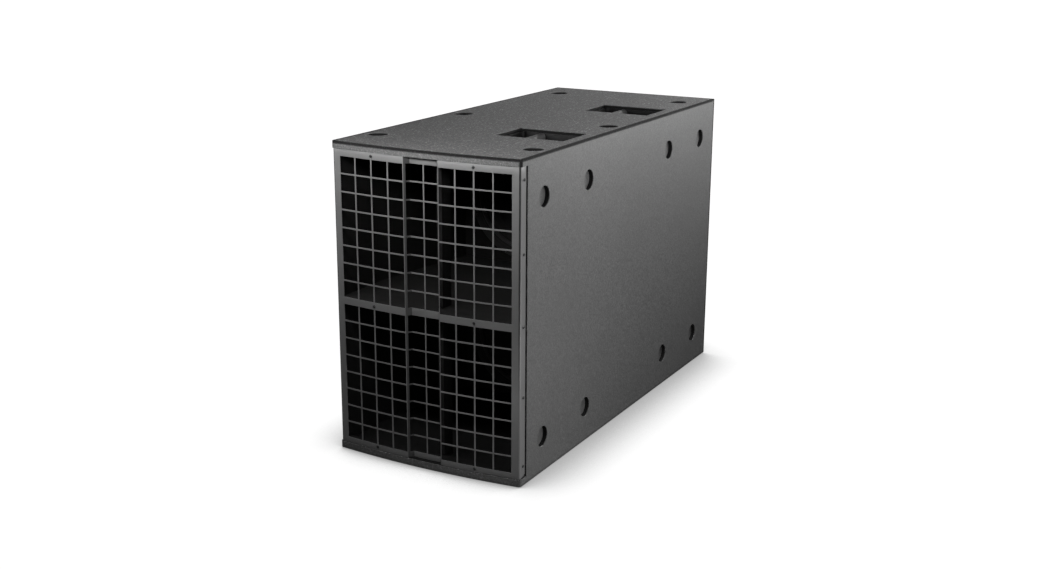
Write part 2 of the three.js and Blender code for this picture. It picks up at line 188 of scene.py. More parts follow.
class Finish:  # one material
    def __init__(self, name):
        self.material = bpy.data.materials.new(name)
        self.material.use_nodes = True
        self.nodes = self.material.node_tree.nodes
        self.links = self.material.node_tree.links
        self.shader = self.nodes["Principled BSDF"]
        self.place = self.add("ShaderNodeTexCoord", out="Object")

    def add(self, kind, settings=None, sockets=None, out=0):
        node = self.nodes.new(kind)
        for name, value in (settings or {}).items():
            setattr(node, name, value)
        for name, value in (sockets or {}).items():
            if isinstance(value, Wire):
                self.links.new(value.socket, node.inputs[name])
            else:
                node.inputs[name].default_value = value
        return Wire(self, node.outputs[out])

    def axes(self, vector=None):  # x, y and z of a vector, or of the place on the object
        node = self.nodes.new("ShaderNodeSeparateXYZ")
        self.links.new((vector or self.place).socket, node.inputs[0])
        return [Wire(self, socket) for socket in node.outputs]

    def facing(self):  # the surface's own direction, without its sign
        return [abs(axis) for axis in self.axes(self.add("ShaderNodeNewGeometry", out="Normal"))]

    def noise(self, scale, detail=2.0, rough=0.5, where=None):
        sockets = {"Vector": where or self.place, "Scale": scale, "Detail": detail, "Roughness": rough}
        return self.add("ShaderNodeTexNoise", None, sockets, "Fac")

    def fade(self, value, start, end, low=0.0, high=1.0):
        sockets = {"Value": value, "From Min": start, "From Max": end, "To Min": low, "To Max": high}
        return self.add("ShaderNodeMapRange", {"interpolation_type": "SMOOTHSTEP"}, sockets, "Result")

    def smaller(self, first, second):
        return self.add("ShaderNodeMath", {"operation": "MINIMUM"}, {0: first, 1: second})

    def blend(self, factor, first, second):
        return self.add("ShaderNodeMix", {"data_type": "RGBA"}, {0: factor, 6: first, 7: second}, 2)

    def bump(self, height, depth, strength=1.0):
        sockets = {"Strength": strength, "Distance": depth, "Height": height}
        return self.add("ShaderNodeBump", None, sockets, "Normal")

    def finishWith(self, shader=None, **sockets):
        for name, value in sockets.items():
            socket = (shader or self.shader).inputs[name.replace("_", " ")]
            if isinstance(value, Wire):
                self.links.new(value.socket, socket)
            else:
                socket.default_value = value
        return self.material

    def coverWithPaintedShade(self, mask, **sockets):  # a second shader over the first where the mask is 1, used here to lay painted shade
        coat = self.nodes.new("ShaderNodeBsdfPrincipled")
        self.finishWith(coat, **sockets)
        both = self.nodes.new("ShaderNodeMixShader")
        self.links.new(mask.socket, both.inputs[0])
        self.links.new(self.shader.outputs[0], both.inputs[1])
        self.links.new(coat.outputs[0], both.inputs[2])
        self.links.new(both.outputs[0], self.nodes["Material Output"].inputs["Surface"])
        return self.material


def grey(value, warm=0.0):
    return (value * (1 + warm), value, value * (1 - warm), 1)


structured = {
    # shade is the near-black of the painted shade on edges, cup walls and inside; shadeDepth is how far
    # in it starts
    "base": 0.056, "dark": 0.034, "speckAndGlint": 0.26, "bare": 0.20, "shade": 0.003,
    "grainScale": 300, "fleckScale": 210, "cloudScale": 5.5, "scuffScale": 38, "rubScale": 55,
    "peelDepth": 0.0016, "edgeReach": 0.0085, "lowEdge": (0.02, 0.03),
    "shadeDepth": (0.0012, 0.0026),
    "rearFace": 0.018, "cupFloor": 0.014, "rubReach": (0.0042, 0.0032),
    "roughness": 0.56, "shine": 0.38,
}


def structuredPaint():  # sprayed speckled paint; its edges, the cup walls and the inside get a dull near-black painted shade
    f = Finish("structured_paint")
    s = structured
    x, y, z = f.axes()
    sideways, _, upward = f.facing()
    toSide = halfWidth - abs(x)
    toTop = f.smaller(cabinet["top"] - z, z - cabinet["underside"])
    bowed = y - (chord - cabinet["bow"]) - (x / halfWidth) ** 2 * cabinet["bow"]
    toFront = f.smaller(bowed, cabinet["rear"] - y)
    behindFace = f.smaller(bowed, cabinet["rear"] - s["rearFace"] - y)
    # painted shade: the inside of the cabinet and the walls of the cups and cut-outs go near black; cup
    # floors facing sideways mostly keep the paint
    paintedShadeInside = f.fade(f.smaller(f.smaller(toSide, toTop), behindFace), *s["shadeDepth"])
    cupFloor = f.fade(toSide, s["cupFloor"], s["cupFloor"] - 0.002) * f.fade(sideways, 0.80, 0.95)
    paintedShadeInside = paintedShadeInside * (1 - cupFloor * 0.85)
    # painted dark reflection: the rounded edges go near black and dull, standing in for the dark they
    # reflect
    edge = f.smaller(toSide + toTop, f.smaller(toSide + toFront, toTop + toFront))
    paintedEdgeShade = f.fade(edge, s["edgeReach"], s["edgeReach"] * 0.5) * f.fade(z, *s["lowEdge"], 0.25, 1.0)

    grain = f.noise(s["grainScale"], 3, 0.6)
    speckAndGlint = f.fade(f.noise(s["fleckScale"], 3, 0.7), 0.55, 0.66)
    speckAndGlint = speckAndGlint * (0.08 + upward * 0.92 + (1 - sideways) * 0.15)  # the paint's own specks, weighted to show most on the top as painted glints
    cloud = f.noise(s["cloudScale"], 4, 0.55)
    scuff = f.fade(f.noise(s["scuffScale"], 6, 0.7), 0.66, 0.72) * f.fade(f.noise(4, 2), 0.45, 0.62)
    rubbed = f.fade(edge + f.noise(s["rubScale"], 5, 0.7) * 0.006, *s["rubReach"])
    rubbed = rubbed * f.fade(f.noise(11, 3), 0.62, 0.68)
    body = f.blend(f.fade(grain, 0.36, 0.64), grey(s["dark"]), grey(s["base"] * 1.12))
    body = f.blend(f.fade(cloud, 0.35, 0.68, 0.0, 0.25), body, grey(s["base"] * 0.75))
    body = f.blend(speckAndGlint, body, grey(s["speckAndGlint"]))
    body = f.blend(scuff * 0.25, body, grey(s["bare"]))
    body = f.blend(rubbed * 0.55, body, grey(s["bare"], 0.05))
    height = grain * 0.7 + f.noise(s["fleckScale"] * 1.7, 2) * 0.3
    relief = f.bump(height * (1 - paintedEdgeShade * 0.6) * (0.45 + upward * 0.75), s["peelDepth"], 0.55)
    f.finishWith(
        Base_Color=body,
        Roughness=s["roughness"] + (grain - 0.5) * 0.16 + scuff * 0.1,
        Specular_IOR_Level=s["shine"],
        Normal=relief,
    )
    # grain breaks up the painted dark edge line
    patchy = f.fade(grain, 0.55, 0.75, 0.0, 0.25)
    # the dull near-black second shader is the painted shade and painted dark reflection
    return f.coverWithPaintedShade(
        1 - (1 - paintedShadeInside) * (1 - paintedEdgeShade * (1 - patchy)),
        Base_Color=f.blend(grain, grey(s["shade"]), grey(s["shade"] * 2.5)),
        Roughness=0.80 + grain * 0.15,
        Specular_IOR_Level=0.10,
        Normal=relief,
    )


powder = {
    # foldShade is the near-black of the painted shade in the bends and on the fold walls
    "base": 0.085, "dark": 0.060, "bare": 0.30, "foldShade": 0.006, "scale": 1500, "depth": 0.00018,
    "roughness": 0.42, "bendStart": 0.2560, "foldReach": 0.055,
}


def powderCoat():  # even satin powder coat, a little chipped; the side bends and the fold walls get a dull near-black painted shade
    f = Finish("powder_coat")
    s = powder
    skin = f.noise(s["scale"], 2, 0.5)
    cloud = f.noise(9, 4, 0.6)
    chips = f.fade(f.noise(170, 5, 0.75), 0.715, 0.74)
    body = f.blend(cloud, grey(s["dark"]), grey(s["base"]))
    body = f.blend(f.fade(skin, 0.3, 0.7) * 0.35, body, grey(s["base"] * 1.25))
    body = f.blend(chips * 0.6, body, grey(s["bare"]))
    f.finishWith(
        Base_Color=body,
        Roughness=s["roughness"] + (cloud - 0.5) * 0.12,
        Specular_IOR_Level=0.5,
        Normal=f.bump(skin, s["depth"], 0.5),
    )
    x, y, z = f.axes()
    sideways = f.facing()[0]
    # painted shade: the side bends go near black, more so towards the top, and the fold walls too
    bendShade = f.fade(abs(x), s["bendStart"], s["bendStart"] + 0.002)
    bendShade = bendShade * f.fade(sideways, 0.10, 0.30) * f.fade(sideways, 0.96, 0.84)
    foldWallShade = f.fade(abs(x), s["foldReach"], s["foldReach"] - 0.002) * f.fade(sideways, 0.30, 0.60)
    return f.coverWithPaintedShade(
        bendShade * f.fade(z, 0.18, 0.50, 0.15, 0.95) + foldWallShade * 0.7,
        Base_Color=f.blend(skin, grey(s["foldShade"]), grey(s["foldShade"] * 2)),
        Roughness=0.7 + cloud * 0.2,
        Specular_IOR_Level=0.12,
    )


def blackWoodInShade(name, strength=1.0):  # black paint soaked thinly into plywood, made darker than black paint is, as painted shade for the inside; strength makes a lighter copy as painted light
    f = Finish(name)
    stretched = f.add("ShaderNodeMapping", None, {"Vector": f.place, "Scale": (60, 5, 60)})
    rings = f.noise(1.0, 5, 0.6, stretched)
    fine = f.noise(900, 2)
    body = f.blend(rings, grey(0.003 * strength), grey(0.008 * strength, 0.02))
    body = f.blend(f.fade(f.noise(26, 4), 0.62, 0.75) * 0.4, body, grey(0.009 * strength, 0.03))
    return f.finishWith(
        Base_Color=body,
        Roughness=0.76 + rings * 0.2,
        Specular_IOR_Level=0.10,
        Normal=f.bump(rings * 0.7 + fine * 0.3, 0.0006, 0.5),
    )


def mouldedPlastic(name, low, high, shine):
    f = Finish(name)
    settings, sockets = {"feature": "SMOOTH_F1"}, {"Vector": f.place, "Scale": 700}
    leather = f.add("ShaderNodeTexVoronoi", settings, sockets, "Distance")
    dust = f.fade(f.noise(34, 5, 0.65), 0.5, 0.75)
    return f.finishWith(
        Base_Color=f.blend(dust * 0.5, grey(low), grey(high)),
        Roughness=0.46 + dust * 0.2,
        Specular_IOR_Level=shine,
        Normal=f.bump(leather, 0.0004, 0.5),
    )


def dullRubber(name, value, depth):
    f = Finish(name)
    grit = f.noise(650, 4, 0.7)
    bloom = f.fade(f.noise(22, 4, 0.6), 0.45, 0.7)
    body = f.blend(bloom * 0.6, grey(value), grey(value * 2.2))
    return f.finishWith(
        Base_Color=body,
        Roughness=0.66 + grit * 0.2,
        Normal=f.bump(grit, depth, 0.6),
    )


def pressedPaper():
    f = Finish("pressed_paper")
    fibres = f.noise(240, 8, 0.75)
    blotch = f.noise(30, 4, 0.6)
    body = f.blend(fibres, grey(0.005), grey(0.016, 0.03))
    body = f.blend(blotch * 0.4, body, grey(0.010))
    return f.finishWith(
        Base_Color=body,
        Roughness=0.78 + fibres * 0.18,
        Specular_IOR_Level=0.2,
        Normal=f.bump(fibres, 0.0007, 0.6),
    )


def castMetal():
    f = Finish("cast_metal")
    sand = f.noise(520, 5, 0.7)
    body = f.blend(sand, grey(0.008), grey(0.020))
    return f.finishWith(
        Base_Color=body,
        Metallic=0.2,
        Roughness=0.60 + sand * 0.18,
        Specular_IOR_Level=0.25,
        Normal=f.bump(sand, 0.0004, 0.5),
    )


def blackZinc():  # screw heads, rubbed bright on their high spots
    f = Finish("black_zinc")
    turned = f.noise(1200, 3, 0.6)
    patchy = f.fade(f.noise(420, 4, 0.7), 0.58, 0.66)
    body = f.blend(patchy * 0.5, grey(0.030), grey(0.22))
    return f.finishWith(
        Base_Color=body,
        Metallic=0.85,
        Roughness=0.34 + turned * 0.16,
        Normal=f.bump(turned, 0.0001, 0.4),
    )


def wovenCloth():
    f = Finish("woven_cloth")
    sockets = {"Vector": f.place, "Scale": 420}
    threads = [f.add("ShaderNodeTexWave", {"bands_direction": way}, sockets, "Fac") for way in "XZ"]
    weave = threads[0] * threads[1]
    body = f.blend(weave, grey(0.05, 0.4), grey(0.16, 0.35))
    return f.finishWith(Base_Color=body, Roughness=0.85, Normal=f.bump(weave, 0.0004, 0.6))


def brightContact():
    f = Finish("bright_contact")
    tarnish = f.noise(700, 4, 0.6)
    body = f.blend(tarnish, (0.55, 0.42, 0.20, 1), (0.80, 0.66, 0.38, 1))
    return f.finishWith(Base_Color=body, Metallic=1.0, Roughness=0.25 + tarnish * 0.2)


finishes = {
    "textured_paint": structuredPaint(),
    "inner_paint": blackWoodInShade("black_wood_in_shade"),
    "powder_coated_steel": powderCoat(),
    "screw_steel": blackZinc(),
    # the pocket plastic is made near black as painted shade in the handle pockets; the socket shells
    # share it
    "handle_plastic": mouldedPlastic("shaded_pocket_plastic", 0.003, 0.009, 0.12),
    "pad_rubber": dullRubber("pad_rubber", 0.012, 0.0005),
    "cast_frame": castMetal(),
    "surround_rubber": dullRubber("surround_rubber", 0.009, 0.00015),
    "cone_paper": pressedPaper(),
    "spider_cloth": wovenCloth(),
}
contactMetal = brightContact()
gripPlastic = mouldedPlastic("grip_plastic", 0.030, 0.075, 0.60)
# a lighter copy of the inner paint for the shelf: painted light where the shelf catches light
litShelfPaint = blackWoodInShade("lit_shelf_paint", 1.4)
for subpart in record["subparts"]:
    data = frame["nodes"][subpart["node"]].data
    data.materials.clear()
    data.materials.append(finishes[subpart["material_slot"]])
print("finishes made")


# Making meshes.
def place(name, mesh, slot, stands=(), body="cabinet", finish=None):
    mesh.name = name
    obj = bpy.data.objects.new(name, mesh)
    bpy.context.collection.objects.link(obj)
    mesh.materials.clear()
    mesh.materials.append(finish or finishes[slot])
    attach(obj, body)
    if stands:
        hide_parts(*stands)
    return obj


def toMesh(bm, name="shape"):
    mesh = bpy.data.meshes.new(name)
    bm.to_mesh(mesh)
    bm.free()
    return mesh


def fromShape(mesh):
    bm = bmesh.new()
    bm.from_mesh(mesh)
    return bm


def baked(mesh, *modifiers):
    # Applies (type, settings) modifiers to a mesh and returns the result.
    obj = bpy.data.objects.new("work", mesh)
    bpy.context.collection.objects.link(obj)
    for kind, settings in modifiers:
        modifier = obj.modifiers.new(kind.lower(), kind)
        for name, value in settings.items():
            setattr(modifier, name, value)
    bpy.context.view_layer.update()
    seen = obj.evaluated_get(bpy.context.evaluated_depsgraph_get())
    result = bpy.data.meshes.new_from_object(seen)
    bpy.data.objects.remove(obj)
    return result


def smooth(mesh, degrees=35):
    mesh.shade_smooth()
    mesh.set_sharp_from_angle(angle=math.radians(degrees))
    return mesh


def evenShading(mesh, degrees=35):  # flat faces stay flat to the eye right up to their rounded edges
    return baked(smooth(mesh, degrees), ("WEIGHTED_NORMAL", {"keep_sharp": True, "weight": 100}))


def brick(low, high):
    bm = bmesh.new()
    low, high = Vector(low), Vector(high)
    scale = Matrix.Diagonal((*(high - low), 1))
    bmesh.ops.create_cube(bm, size=1, matrix=Matrix.Translation((low + high) / 2) @ scale)
    return toMesh(bm)


def prism(outline, low, high):  # a plan outline, anticlockwise, raised between two heights
    bm = bmesh.new()
    under = [bm.verts.new((x, y, low)) for x, y in outline]
    over = [bm.verts.new((x, y, high)) for x, y in outline]
    bm.faces.new(under[::-1])
    bm.faces.new(over)
    for i, vert in enumerate(under):
        nextOne = (i + 1) % len(under)
        bm.faces.new((vert, under[nextOne], over[nextOne], over[i]))
    return toMesh(bm)


def turned(profile, axis, centre, steps=64):
    # A profile of (radius, along) pairs turned about an axis through a centre.
    bm = bmesh.new()
    axisOf = {
        "x": ((0, 1, 0), (0, 0, 1), (1, 0, 0)),
        "y": ((1, 0, 0), (0, 0, 1), (0, 1, 0)),
        "z": ((1, 0, 0), (0, 1, 0), (0, 0, 1)),
    }
    across, upward, along = (Vector(v) for v in axisOf[axis])
    centre = Vector(centre)
    rings = []
    for radius, distance in profile:
        point = centre + along * distance
        if radius < 1e-7:
            rings.append([bm.verts.new(point)] * steps)
            continue
        angles = [2 * math.pi * i / steps for i in range(steps)]
        spokes = [across * math.cos(a) + upward * math.sin(a) for a in angles]
        rings.append([bm.verts.new(point + spoke * radius) for spoke in spokes])
    for first, second in zip(rings, rings[1:]):
        for i in range(steps):
            j = (i + 1) % steps
            corners = []
            for vert in (first[i], first[j], second[j], second[i]):
                if vert not in corners:
                    corners.append(vert)
            if len(corners) > 2:
                bm.faces.new(corners)
    bmesh.ops.remove_doubles(bm, verts=bm.verts, dist=1e-7)
    bmesh.ops.recalc_face_normals(bm, faces=bm.faces)
    return toMesh(bm)


def merged(meshes):
    bm = bmesh.new()
    for mesh in meshes:
        bm.from_mesh(mesh)
    return toMesh(bm)


def moved(mesh, offset=(0, 0, 0), turn=None):
    copy = mesh.copy()
    matrix = Matrix.Translation(offset)
    if turn:
        matrix = matrix @ Matrix.Rotation(math.radians(turn[1]), 4, turn[0])
    copy.transform(matrix)
    return copy


def carve(mesh, cutters):
    cutter = bpy.data.objects.new("cutter", merged(cutters))
    bpy.context.collection.objects.link(cutter)
    result = baked(mesh, ("BOOLEAN", {"operation": "DIFFERENCE", "solver": "EXACT", "object": cutter}))
    bpy.data.objects.remove(cutter)
    return result


def roundEdges(mesh, radiusAt, segments=3, degrees=25):
    # Rounds every sharp edge by the radius that radiusAt(middle, direction) gives it, 0 for none.
    bm = fromShape(mesh)
    bmesh.ops.dissolve_limit(bm, angle_limit=math.radians(0.5), verts=bm.verts, edges=bm.edges)
    layer = bm.edges.layers.float.new("bevel_weight_edge")
    chosen = {}
    for edge in bm.edges:
        if len(edge.link_faces) == 2 and edge.calc_face_angle() > math.radians(degrees):
            ends = [v.co for v in edge.verts]
            chosen[edge] = radiusAt((ends[0] + ends[1]) / 2, (ends[1] - ends[0]).normalized())
    largest = max(chosen.values())
    for edge, radius in chosen.items():
        edge[layer] = radius / largest
    shape = toMesh(bm)
    rounded = baked(shape, ("BEVEL", {
        "limit_method": "WEIGHT", "width": largest, "segments": segments, "use_clamp_overlap": True,
        "miter_outer": "MITER_ARC" if segments > 1 else "MITER_SHARP"}))
    bm = fromShape(rounded)  # without the slivers that a clamped corner can leave
    bmesh.ops.remove_doubles(bm, verts=bm.verts, dist=5e-6)
    bmesh.ops.dissolve_degenerate(bm, edges=bm.edges, dist=5e-6)
    return evenShading(toMesh(bm))


# Cabinet boards.
boards = {
    "cornerRadius": 0.008, "longEdge": 0.0032, "frontEdge": 0.0022, "rim": 0.0010, "cupSteps": 72,
    "cupRadius": 0.026, "cupDeep": 0.012, "clear": 0.03, "dishRoom": 0.0003,
    "seam": 0.0003,  # the paint closes the joints between the boards
    "flangeGap": 0.0023, "rebate": 0.004, "step": 0.031, "sideEdge": 0.0016, "innerEdge": 0.0008,
}
openings = {o["name"]: [Vector(c) for c in o["box_m"]] for o in record["physics"]["openings"]}
near = 0.001  # how close counts as on a face


def boardOutline():
    radius = boards["cornerRadius"]
    reach = halfWidth - radius
    front = [reach * (1 - i / 24) for i in range(49)]
    points = [(-halfWidth, cabinet["rear"]), (halfWidth, cabinet["rear"])]
    cornerY = frontAt(reach) + radius
    for i in range(8):
        a = -math.pi / 2 * i / 8
        points.append((reach + radius * math.cos(a), cornerY + radius * math.sin(a)))
    points += [(x, frontAt(x)) for x in front]
    for i in range(1, 9):
        a = -math.pi / 2 - math.pi / 2 * i / 8
        points.append((-reach + radius * math.cos(a), cornerY + radius * math.sin(a)))
    return points[::-1]


def cup(centre, axis, outward):  # a round plug that cuts a cup, from its floor outwards
    radius, clear = boards["cupRadius"], boards["clear"] * outward
    return turned([(0, 0), (radius, 0), (radius, clear), (0, clear)], axis, centre, boards["cupSteps"])


def openingCentres(start):
    return [(low + high) / 2 for name, (low, high) in openings.items() if name.startswith(start)]


def isRim(middle):  # on the mouth or floor of a round cup in the top or bottom board
    reach = boards["cupRadius"] * 1.1
    return any((middle.xy - centre.xy).length < reach for centre in openingCentres("top_cup"))


def levelBoard(node, top):
    low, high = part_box(node)
    board = prism(boardOutline(), low.z, high.z)
    floor = high.z - boards["cupDeep"] if top else low.z + boards["cupDeep"]
    cutters = [cup((c.x, c.y, floor), "z", 1 if top else -1) for c in openingCentres("top_cup")]
    if top:
        for name in ("front", "rear"):
            dishLow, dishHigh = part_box(f"handle_dish_{name}")
            room = Vector((boards["dishRoom"], boards["dishRoom"], 0))
            dishLow, dishHigh = dishLow - room, dishHigh + room
            cutters.append(brick((*dishLow.xy, low.z - 0.01), (*dishHigh.xy, high.z + 0.01)))
    outer = high.z if top else low.z

    def radiusAt(middle, direction):
        if isRim(middle):
            return boards["rim"]
        atOuter = abs(middle.z - outer) < near
        atSide = abs(abs(middle.x) - halfWidth) < near
        atRear = middle.y > cabinet["rear"] - near
        if middle.y < chord + 0.01 and abs(middle.y - frontAt(middle.x)) < 0.010:
            return boards["frontEdge"]
        if atOuter and (atSide or atRear):
            return boards["longEdge"]
        return boards["rim"] if atRear or not atSide else 0

    shape = roundEdges(carve(board, cutters), radiusAt, 4)
    place(node.replace("panel", "board"), shape, "textured_paint", [node])


def sideBoard(side):
    word = "right" if side > 0 else "left"
    node = f"{word}_side_panel"
    low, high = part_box(node)
    seam = boards["seam"]
    inner = halfWidth - cabinet["ply"]
    step = chord + boards["step"]
    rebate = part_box("front_grille")[1].x - boards["flangeGap"]
    slant = boards["rebate"]
    rear = cabinet["rear"]
    outline = [(inner, rear), (inner, low.y), (rebate - slant, low.y), (rebate, low.y + slant),
               (rebate, step), (halfWidth, step), (halfWidth, rear)]
    points = [(side * x, y) for x, y in outline]
    board = prism(points if side > 0 else points[::-1], low.z - seam, high.z + seam)
    floor = side * (halfWidth - boards["cupDeep"])
    cutters = [cup((floor, c.y, c.z), "x", side) for c in openingCentres(f"side_recess_{word}")]

    def radiusAt(middle, direction):
        atFace = abs(abs(middle.x) - halfWidth) < boards["cupDeep"] + near
        if abs(direction.z) > 0.99:
            return boards["sideEdge"] if atFace else boards["innerEdge"]
        if abs(middle.z - high.z) < near or abs(middle.z - low.z) < near:
            return 0
        return boards["rim"] if atFace else 0

    shape = roundEdges(carve(board, cutters), radiusAt, 3)
    place(f"{word}_side_board", shape, "textured_paint", [node])


levelBoard("top_panel", True)
levelBoard("bottom_panel", False)
sideBoard(1)
sideBoard(-1)
print("boards made")


# Grille: one sheet, punched and folded.
grilleLow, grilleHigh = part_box("front_grille")
grille = {
    "sheet": 0.002, "inset": 0.0025, "bend": 0.005, "fold": 0.0026, "strip": 0.014,
    "foldX": 0.048, "innerFoldX": 0.0384, "bar": 0.0038, "pitch": 0.0493, "foldBar": 0.0062,
    "rows": 8, "columns": 4, "midHeight": 0.0188, "reach": 0.3655, "notch": 0.009, "edge": 0.00035,
    "wingEnd": 0.009, "bendRoom": 0.004, "faceDepth": 0.012, "edgeAngle": 60,
}


def faceAt(x):
    return frontAt(x) + grille["inset"]


def roundedPath(corners, radii, steps):
    # A polyline with each inner corner replaced by an arc; returns the points.
    path = [Vector(corners[0])]
    for i in range(1, len(corners) - 1):
        corner, before, after = (Vector(corners[k]) for k in (i, i - 1, i + 1))
        radius = radii.get(i, 0)
        if not radius:
            path.append(corner)
            continue
        inward = (before - corner).normalized()
        outward = (after - corner).normalized()
        half = inward.angle(outward) / 2
        back = radius / math.tan(half)
        centre = corner + (inward + outward).normalized() * (radius / math.sin(half))
        start = corner + inward * back - centre
        turnBy = math.pi - 2 * half
        sign = 1 if inward.x * outward.y - inward.y * outward.x < 0 else -1
        for k in range(steps + 1):
            a = sign * turnBy * k / steps
            rotated = Vector((start.x * math.cos(a) - start.y * math.sin(a),
                              start.x * math.sin(a) + start.y * math.cos(a)))
            path.append(centre + rotated)
    path.append(Vector(corners[-1]))
    return path


def grillePath():
    # The sheet's outer face from the middle plane to the right flange's rear edge, the place where
    # the fold's cells end, and the edges of the wing's cells.
    g = grille
    flange = grilleHigh.x
    barLines = [g["foldX"] - g["foldBar"] / 2 + n * g["pitch"] for n in range(1, g["columns"] + 1)]
    wingX = []
    for n, line in enumerate(barLines):
        cellStart = g["foldX"] + g["sheet"] if n == 0 else barLines[n - 1] + g["bar"] / 2
        wingX += [cellStart, line - g["bar"] / 2]
    wingX += [wingX[-1] + g["wingEnd"], flange - g["bend"] - g["bendRoom"]]
    inner = (g["innerFoldX"], faceAt(g["innerFoldX"]) + g["strip"])
    outer = (g["foldX"], faceAt(g["foldX"]))
    wall = Vector(outer) - Vector(inner)
    cellTop = Vector(outer) - wall.normalized() * g["foldBar"]
    bendFront = faceAt(flange - g["bend"]) - 0.0004
    corners = [(0, faceAt(0) + g["strip"]), inner, tuple(cellTop), outer,
               *[(x, faceAt(x)) for x in wingX],
               (flange, bendFront), (flange, chord + g["notch"]), (flange, grilleHigh.y)]
    bendIndex = len(corners) - 3
    path = roundedPath(corners, {1: g["fold"], 3: g["fold"], bendIndex: g["bend"]}, 6)
    return path, tuple(cellTop), wingX


def columnOf(first, second, cellEdges, foldEnd):  # the cell column of a stretch of the path, if any
    middle = (first + second) / 2
    if first.x * second.x < 0 or middle.y > chord + grille["faceDepth"]:
        return None
    x = abs(middle.x)
    for index, (start, end) in enumerate(cellEdges):
        if start - 1e-6 < x < end + 1e-6:
            return None if index == 0 and x > foldEnd - 1e-6 else index
    return None


def cellRows():  # the low and high edge of every row of cells, from the floor up
    g = grille
    height = (g["reach"] - g["midHeight"] / 2 - (g["rows"] - 1) * g["bar"]) / g["rows"]
    rows = []
    for i in range(g["rows"]):
        start = g["midHeight"] / 2 + i * (height + g["bar"])
        rows.append((shelfMiddle + start, shelfMiddle + start + height))
        rows.append((shelfMiddle - start - height, shelfMiddle - start))
    return sorted(rows)


def grilleSheet():
    g = grille
    path, cellTop, wingX = grillePath()
    bar = g["bar"] / 2
    half = [Vector((bar, path[0].y)), *path[1:]]
    points = [Vector((-p.x, p.y)) for p in half[::-1]] + half
    cellEdges = [(bar, cellTop[0])] + list(zip(wingX[0:8:2], wingX[1:8:2]))
    columns = [columnOf(a, b, cellEdges, cellTop[0]) for a, b in zip(points, points[1:])]
    rows = cellRows()
    low, notch = grilleLow.z, g["notch"]
    levels = [low, low + notch * 0.9, *[z for row in rows for z in row], grilleHigh.z]
    cut = [any(a < (z + above) / 2 < b for a, b in rows) for z, above in zip(levels, levels[1:])]
    bm = bmesh.new()
    last = len(points) - 1
    grid = []
    for i, p in enumerate(points):
        heights = list(levels)
        if i in (0, last):  # the flanges' lower rear corners are notched
            heights[:2] = [low + notch * 0.85, low + notch]
        grid.append([bm.verts.new((p.x, p.y, z)) for z in heights])
    for i, column in enumerate(columns):
        for j, isCut in enumerate(cut):
            if column is None or not isCut:
                bm.faces.new((grid[i][j], grid[i + 1][j], grid[i + 1][j + 1], grid[i][j + 1]))
    loose = [v for v in bm.verts if not v.link_faces]
    bmesh.ops.delete(bm, geom=loose, context="VERTS")
    bmesh.ops.recalc_face_normals(bm, faces=bm.faces)
    if sum(f.normal.y * f.calc_area() for f in bm.faces) > 0:
        bmesh.ops.reverse_faces(bm, faces=bm.faces)
    thick = {"thickness": g["sheet"], "offset": -1, "use_even_offset": True}
    eased = {"limit_method": "ANGLE", "angle_limit": math.radians(g["edgeAngle"]), "width": g["edge"],
             "segments": 2}
    return smooth(baked(toMesh(bm), ("SOLIDIFY", thick), ("BEVEL", eased)), 40)


place("folded_grille", grilleSheet(), "powder_coated_steel", ["front_grille"])
print("grille made")


# Screws.
screwShape = {
    "radius": 0.004, "rise": 0.0022, "socket": 0.0022, "deep": 0.0013, "stem": 0.0017, "length": 0.010,
    "keyTurn": 7, "madeAt": 100,
}


def screwHead():
    # A button head with a six-sided socket, pointing along -Y, its underside at y = 0.
    s = screwShape
    large = s["madeAt"]  # carved at a larger size, so that the cut is clean
    r, rise, socket, deep = (s[k] * large for k in ("radius", "rise", "socket", "deep"))
    stem, length = s["stem"] * large, s["length"] * large
    dome = [(0.0, -rise)]
    for a in range(12, 91, 13):
        turn = math.radians(a)
        dome.append((r * math.sin(turn), -rise * (0.18 + 0.82 * math.cos(turn))))
    profile = dome + [(r, -rise * 0.09), (r * 0.96, 0.0), (stem, 0.0), (stem, length), (0, length)]
    head = turned(profile, "y", (0, 0, 0), 24)
    floor = deep - rise
    key = turned([(0, -rise * 2), (socket, -rise * 2), (socket, floor), (0, floor)], "y", (0, 0, 0), 6)
    key.transform(Matrix.Rotation(math.radians(s["keyTurn"]), 4, "Y"))
    head = carve(head, [key])
    head.transform(Matrix.Scale(1 / large, 4))
    return smooth(head, 35)


headShape = screwHead()


def placeScrew(node, old, new):
    low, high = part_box(node)
    middle = (low + high) / 2
    rise = screwShape["rise"]
    if old == "grille_screw":  # on the grille's face
        shape = moved(headShape, (middle.x, low.y + rise, middle.z))
    else:
        side = 1 if middle.x > 0 else -1
        x = high.x - rise if side > 0 else low.x + rise
        shape = moved(headShape, (x, middle.y, middle.z), ("Z", 90 * side))
    place(node.replace(old, new), shape, "screw_steel", [node])


for name in frame["nodes"]:
    for old, new in (("grille_screw", "face_screw"), ("flange_screw", "edge_screw")):
        if name.startswith(old):
            placeScrew(name, old, new)
print("screws made")


# Handles.
handle = {
    "wall": (0.010, 0.0035), "floor": 0.006, "corner": 0.010, "fillet": 0.006, "rim": 0.0012,
    "root": 0.86, "waist": 0.88, "ridge": 0.0012, "ridgeSpread": 7, "sides": 32,
    "stations": (0, 0.3, 0.6, 0.86, 0.92, 0.96, 0.985, 1),
}


def handleDish(where):
    node = f"handle_dish_{where}"
    low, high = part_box(node)
    h = handle
    x, y = h["wall"]
    inside = brick((low.x + x, low.y + y, low.z + h["floor"]), (high.x - x, high.y - y, high.z + 0.02))

    def fillets(middle, direction):
        if abs(direction.z) > 0.99:
            return h["corner"]
        return h["fillet"] if middle.z < high.z else 0

    def rimOnly(middle, direction):
        return h["rim"] if abs(middle.z - high.z) < 0.0005 else 0

    shell = carve(brick(low, high), [roundEdges(inside, fillets, 6)])
    place(f"dish_{where}", roundEdges(shell, rimOnly, 3, 40), "handle_plastic", [node])


